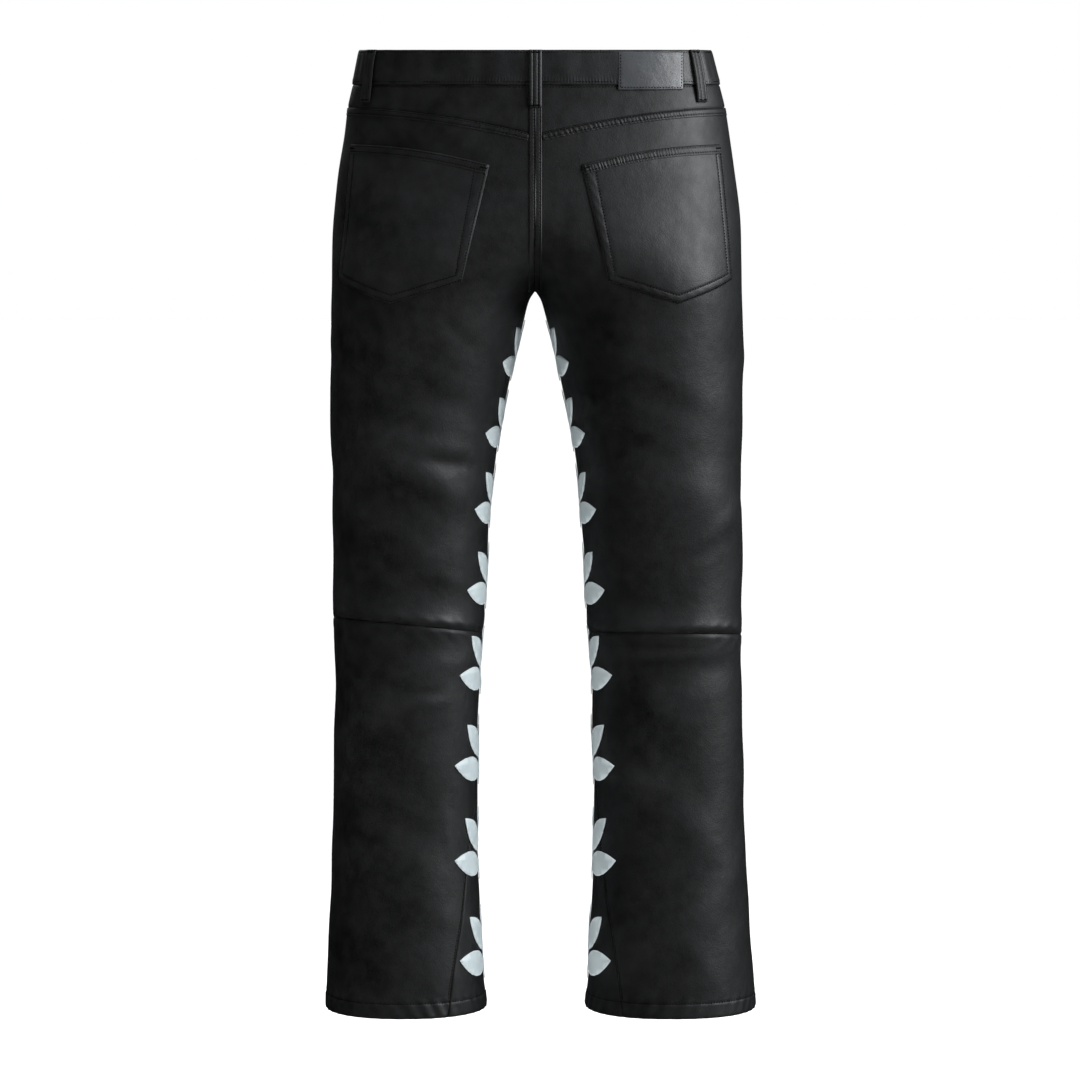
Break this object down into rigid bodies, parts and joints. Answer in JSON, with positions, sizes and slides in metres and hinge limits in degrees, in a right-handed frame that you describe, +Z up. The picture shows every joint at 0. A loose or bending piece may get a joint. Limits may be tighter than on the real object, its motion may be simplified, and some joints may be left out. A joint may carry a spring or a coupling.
{
  "type": "waxed trousers",
  "caption": "Hollow flared waxed-cloth trousers, filled out as if worn, with back pockets, knee seams, belt loops and pale leaf applique on the inseams.",
  "frame": {"origin": "the middle of the waist, half way up the waistband, where the wearer's waist holds the trousers", "axes": "+Z up along the legs towards the waist, -Y the front, +X the wearer's left"},
  "size_m": [0.4775, 0.2222, 1.0545],
  "materials": {
    "waxed_cloth": "black waxed and coated cotton twill, softly glossy with a fine grain",
    "pale_leather": "pale blue-white leather, matt",
    "patch_leather": "smooth black leather, a little glossier than the cloth",
    "button_metal": "dark gunmetal"
  },
  "bodies": {
    "root": {"waistband": "waxed_cloth", "yoke_left": "waxed_cloth", "yoke_right": "waxed_cloth", "back_upper_left": "waxed_cloth", "back_upper_right": "waxed_cloth", "back_lower_left": "waxed_cloth", "back_lower_right": "waxed_cloth", "front_left": "waxed_cloth", "front_right": "waxed_cloth", "godet_left": "waxed_cloth", "godet_right": "waxed_cloth", "pocket_back_left": "waxed_cloth", "pocket_back_right": "waxed_cloth", "loop_centre_back": "waxed_cloth", "loop_back_left": "waxed_cloth", "loop_back_right": "waxed_cloth", "loop_front_left": "waxed_cloth", "loop_front_right": "waxed_cloth", "patch": "patch_leather", "button": "button_metal", "sprig_left_1": "pale_leather", "sprig_left_2": "pale_leather", "sprig_left_3": "pale_leather", "sprig_left_4": "pale_leather", "sprig_left_5": "pale_leather", "sprig_left_6": "pale_leather", "sprig_left_7": "pale_leather", "sprig_left_8": "pale_leather", "sprig_right_1": "pale_leather", "sprig_right_2": "pale_leather", "sprig_right_3": "pale_leather", "sprig_right_4": "pale_leather", "sprig_right_5": "pale_leather", "sprig_right_6": "pale_leather", "sprig_right_7": "pale_leather", "sprig_right_8": "pale_leather"}
  },
  "joints": []
}
